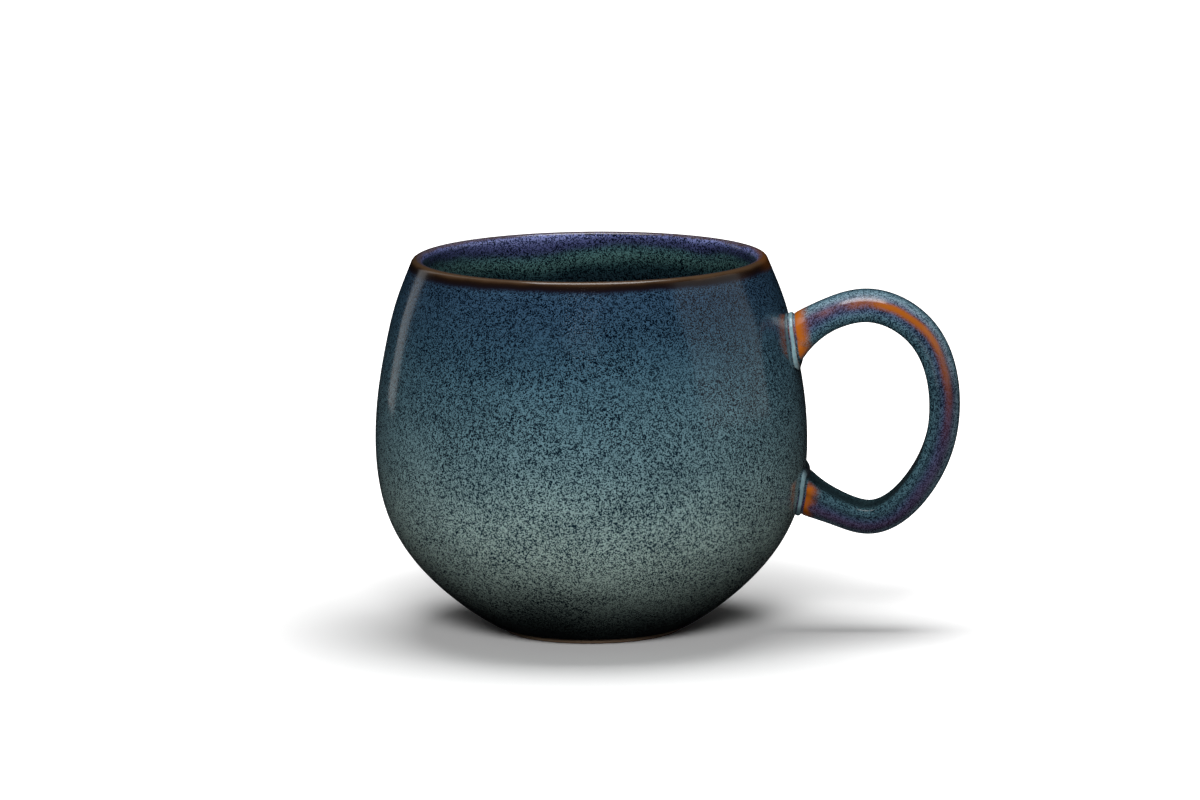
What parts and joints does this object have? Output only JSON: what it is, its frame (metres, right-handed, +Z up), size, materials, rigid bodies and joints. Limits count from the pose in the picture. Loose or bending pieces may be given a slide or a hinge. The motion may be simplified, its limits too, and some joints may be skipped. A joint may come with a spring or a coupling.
{
  "type": "ceramic mug",
  "caption": "Round-bellied glazed stoneware mug with an open loop handle on its side, a narrow foot ring and an inward-leaning rim.",
  "frame": {"origin": "on the bowl's axis, in the plane of the foot ring's face", "axes": "+Z up the bowl's axis through the mouth, +X from the bowl's axis towards the handle, which lies in the XZ plane"},
  "size_m": [0.13, 0.096, 0.0836],
  "materials": {
    "bare_clay": "matte fired stoneware with fine sanded grain",
    "handle_clay": "matte fired stoneware",
    "slip": "matte fired slip, smoothed by hand",
    "outer_glaze": "glossy speckled blue to grey-green reactive glaze",
    "rim_glaze": "glossy iron-brown glaze, thin over the lip",
    "inner_glaze": "glossy speckled blue liner glaze with a violet band under the lip",
    "handle_glaze": "glossy blue and violet reactive glaze that breaks to orange on its edges",
    "base_glaze": "glossy dark blue glaze, pooled in the recess"
  },
  "bodies": {
    "root": {"bowl": "bare_clay", "handle": "handle_clay", "upper_slip_joint": "slip", "lower_slip_joint": "slip", "outer_glaze": "outer_glaze", "rim_glaze": "rim_glaze", "inner_glaze": "inner_glaze", "handle_glaze": "handle_glaze", "base_glaze": "base_glaze"}
  },
  "joints": []
}
